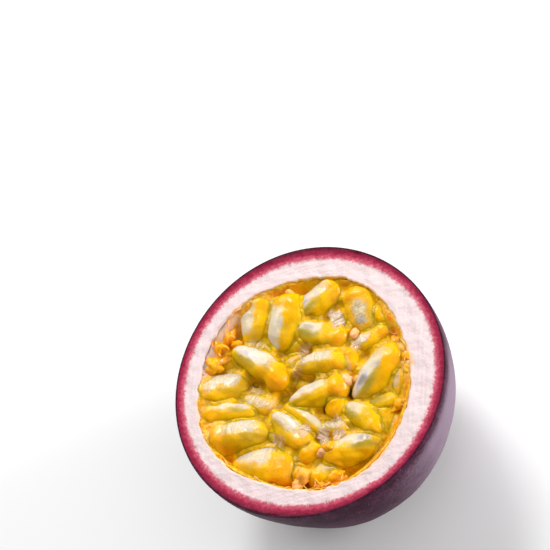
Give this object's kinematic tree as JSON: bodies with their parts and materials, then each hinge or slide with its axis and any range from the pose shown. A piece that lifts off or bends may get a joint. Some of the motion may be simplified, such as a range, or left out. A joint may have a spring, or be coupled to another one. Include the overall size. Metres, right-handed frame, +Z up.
{
  "type": "passion fruit half",
  "caption": "Halved purple passion fruit lying on its skin, cut face up: a thick pale rind round a heap of juicy yellow seed sacs.",
  "frame": {"origin": "underside: the middle of the small flat that it rests on, under the middle of the cut face", "axes": "+Z up, square to the cut face; -Y is the side the camera looks from; +X to the right of it"},
  "size_m": [0.054, 0.0539, 0.0314],
  "materials": {
    "skin": "dark purple fruit skin, satin, with fine pale speckles and a lavender sheen",
    "pith": "cut pith, pinkish white and slightly damp, crimson where it meets the skin",
    "seed_sacs": "wet translucent orange-yellow juice sacs",
    "seeds": "dark seeds seen through the juice"
  },
  "bodies": {
    "root": {"rind": "skin", "pulp": "seed_sacs"}
  },
  "joints": []
}
